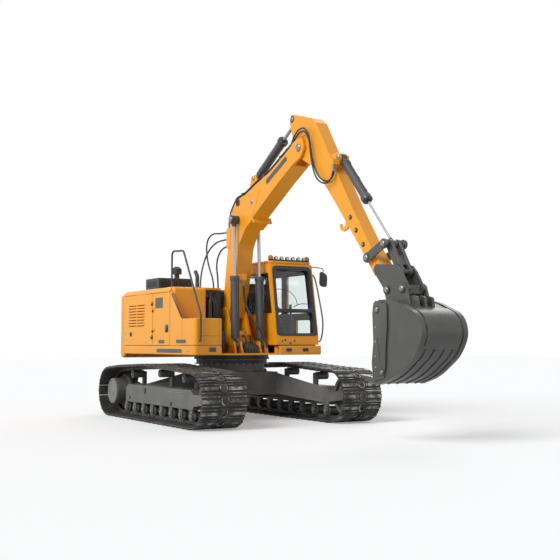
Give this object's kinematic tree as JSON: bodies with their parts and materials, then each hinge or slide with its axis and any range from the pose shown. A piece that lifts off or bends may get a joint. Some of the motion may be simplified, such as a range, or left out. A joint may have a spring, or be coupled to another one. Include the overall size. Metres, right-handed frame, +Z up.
{
  "type": "crawler excavator with a backhoe bucket",
  "caption": "Crawler excavator: a slewing house with cab, engine bay and counterweight on two steel tracks, with a boom, stick and bucket worked by hydraulic cylinders.",
  "frame": {"origin": "on the ground under the swing axis", "axes": "+X forward (the boom and bucket point that way, sprockets are at -X), +Y to the machine's left (the cab's side), +Z up"},
  "size_m": [8.5778, 3.45, 5.1562],
  "materials": {
    "body_paint": "satin",
    "frame_paint": "satin",
    "track_steel": "matte",
    "tool_paint": "matte",
    "cylinder_paint": "satin",
    "chrome": "polished",
    "dark_trim": "matte",
    "pane": "polished",
    "seat_cloth": "matte",
    "plastic": "matte",
    "amber": "gloss",
    "hose_rubber": "matte",
    "engine_iron": "matte",
    "casting": "satin"
  },
  "bodies": {
    "undercarriage": {"track_right": "track_steel", "track_left": "track_steel", "track_frame_right": "frame_paint", "track_frame_left": "frame_paint", "sprockets": "frame_paint", "idlers": "frame_paint", "bottom_rollers": "frame_paint", "carrier_rollers": "frame_paint", "car_frame": "frame_paint", "slew_ring": "frame_paint"},
    "house": {"swing_platform": "body_paint", "lower_bands": "body_paint", "counterweight": "casting", "engine_block": "engine_iron", "roof_panel": "body_paint", "bulkhead": "dark_trim", "fuel_tank": "body_paint", "step_box": "body_paint", "hydraulic_units": "dark_trim", "slew_motor": "body_paint", "handrails": "dark_trim", "exhaust_stack": "dark_trim", "cab_shell": "body_paint", "cab_roof": "body_paint", "cab_glass": "pane", "seat": "seat_cloth", "cab_controls": "plastic", "lamps": "plastic", "beacons": "amber", "mirror": "plastic", "grab_bar": "dark_trim", "boom_hose_0": "hose_rubber", "boom_hose_1": "hose_rubber", "boom_hose_2": "hose_rubber", "lift_hose": "hose_rubber"},
    "pump_door_leaf": {"pump_door": "body_paint"},
    "filter_door_leaf": {"filter_door": "body_paint"},
    "radiator_door_leaf": {"radiator_door": "body_paint"},
    "cab_door_leaf": {"cab_door": "body_paint", "cab_door_glass": "pane"},
    "hood_lid": {"engine_hood": "dark_trim", "precleaner": "dark_trim"},
    "boom": {"boom": "body_paint", "boom_pipes": "dark_trim", "nose_hose_0": "hose_rubber", "nose_hose_1": "hose_rubber"},
    "stick": {"stick": "body_paint"},
    "lift_barrel_right": {"lift_cylinder_right_barrel": "cylinder_paint"},
    "lift_rod_right": {"lift_cylinder_right_rod": "chrome"},
    "lift_barrel_left": {"lift_cylinder_left_barrel": "cylinder_paint"},
    "lift_rod_left": {"lift_cylinder_left_rod": "chrome"},
    "crowd_barrel": {"crowd_cylinder_barrel": "cylinder_paint"},
    "crowd_rod": {"crowd_cylinder_rod": "chrome"},
    "curl_barrel": {"curl_cylinder_barrel": "cylinder_paint"},
    "curl_rod": {"curl_cylinder_rod": "chrome"},
    "guide": {"guide_links": "tool_paint"},
    "link": {"bucket_link": "tool_paint"},
    "bucket": {"quick_coupler": "tool_paint", "bucket_shell": "tool_paint", "bucket_teeth": "tool_paint"}
  },
  "joints": [
    {"name": "house_swing", "type": "hinge", "parent": "undercarriage", "child": "house", "pos_m": [0, 0, 1.085], "axis": [0, 0, 1], "continuous": true},
    {"name": "boom_lift", "type": "hinge", "parent": "house", "child": "boom", "pos_m": [0.04, 0, 1.9], "axis": [0, -1, 0], "range_deg": [-56, 12], "deforming": ["boom_hose_0", "boom_hose_1", "boom_hose_2", "lift_hose"]},
    {"name": "stick_crowd", "type": "hinge", "parent": "boom", "child": "stick", "pos_m": [2.58, 0, 4.55], "axis": [0, 1, 0], "range_deg": [-27, 40], "deforming": ["nose_hose_0", "nose_hose_1"]},
    {"name": "bucket_curl", "type": "hinge", "parent": "stick", "child": "bucket", "pos_m": [4.66, 0, 2.41], "axis": [0, 1, 0], "range_deg": [-35, 75]},
    {"name": "lift_pivot_right", "type": "hinge", "parent": "house", "child": "lift_barrel_right", "pos_m": [0.62, -0.255, 1.34], "axis": [0, -1, 0], "range_deg": [-46.6, 10.8]},
    {"name": "lift_slide_right", "type": "slide", "parent": "lift_barrel_right", "child": "lift_rod_right", "axis": [-0.0311, 0, 0.9995], "range_m": [-0.689, 0.156]},
    {"name": "lift_pivot_left", "type": "hinge", "parent": "house", "child": "lift_barrel_left", "pos_m": [0.62, 0.255, 1.34], "axis": [0, -1, 0], "range_deg": [-46.6, 10.8]},
    {"name": "lift_slide_left", "type": "slide", "parent": "lift_barrel_left", "child": "lift_rod_left", "axis": [-0.0311, 0, 0.9995], "range_m": [-0.689, 0.156]},
    {"name": "crowd_pivot", "type": "hinge", "parent": "boom", "child": "crowd_barrel", "pos_m": [0.95, 0, 4.29], "axis": [0, 1, 0], "range_deg": [-2.6, 3.4]},
    {"name": "crowd_slide", "type": "slide", "parent": "crowd_barrel", "child": "crowd_rod", "axis": [0.8631, 0, 0.5051], "range_m": [-0.279, 0.408]},
    {"name": "guide_pivot", "type": "hinge", "parent": "stick", "child": "guide", "pos_m": [4.46, 0, 2.61], "axis": [0, 1, 0], "range_deg": [-26.4, 55.5]},
    {"name": "link_pivot", "type": "hinge", "parent": "guide", "child": "link", "pos_m": [4.86, 0, 2.78], "axis": [0, 1, 0], "range_deg": [-15.2, 7.6]},
    {"name": "curl_pivot", "type": "hinge", "parent": "stick", "child": "curl_barrel", "pos_m": [3.6, 0, 4.23], "axis": [0, 1, 0], "range_deg": [-3.8, 7]},
    {"name": "curl_slide", "type": "slide", "parent": "curl_barrel", "child": "curl_rod", "axis": [0.6559, 0, -0.7548], "range_m": [-0.166, 0.345]},
    {"name": "pump_door_hinge", "type": "hinge", "parent": "house", "child": "pump_door_leaf", "pos_m": [-0.692, -1.306, 1.8], "axis": [0, 0, 1], "range_deg": [0, 80]},
    {"name": "filter_door_hinge", "type": "hinge", "parent": "house", "child": "filter_door_leaf", "pos_m": [-0.648, -1.306, 1.8], "axis": [0, 0, -1], "range_deg": [0, 80]},
    {"name": "radiator_door_hinge", "type": "hinge", "parent": "house", "child": "radiator_door_leaf", "pos_m": [-2.086, 1.306, 1.8], "axis": [0, 0, 1], "range_deg": [0, 95]},
    {"name": "cab_door_hinge", "type": "hinge", "parent": "house", "child": "cab_door_leaf", "pos_m": [-0.18, 1.306, 2], "axis": [0, 0, 1], "range_deg": [0, 170]},
    {"name": "hood_hinge", "type": "hinge", "parent": "house", "child": "hood_lid", "pos_m": [-1.4, -0.244, 2.396], "axis": [-1, 0, 0], "range_deg": [0, 60]}
  ],
  "couplings": [
    {"joint": "lift_pivot_right", "follows": "boom_lift", "ratio": 0.8151},
    {"joint": "lift_slide_right", "follows": "boom_lift", "m_per_rad": 0.6949},
    {"joint": "lift_pivot_left", "follows": "boom_lift", "ratio": 0.8151},
    {"joint": "lift_slide_left", "follows": "boom_lift", "m_per_rad": 0.6949},
    {"joint": "crowd_pivot", "follows": "stick_crowd", "ratio": 0.0595},
    {"joint": "crowd_slide", "follows": "stick_crowd", "m_per_rad": 0.57},
    {"joint": "guide_pivot", "follows": "bucket_curl", "ratio": 0.7267},
    {"joint": "link_pivot", "follows": "bucket_curl", "ratio": -0.1896},
    {"joint": "curl_pivot", "follows": "bucket_curl", "ratio": 0.0799},
    {"joint": "curl_slide", "follows": "bucket_curl", "m_per_rad": 0.2561}
  ]
}
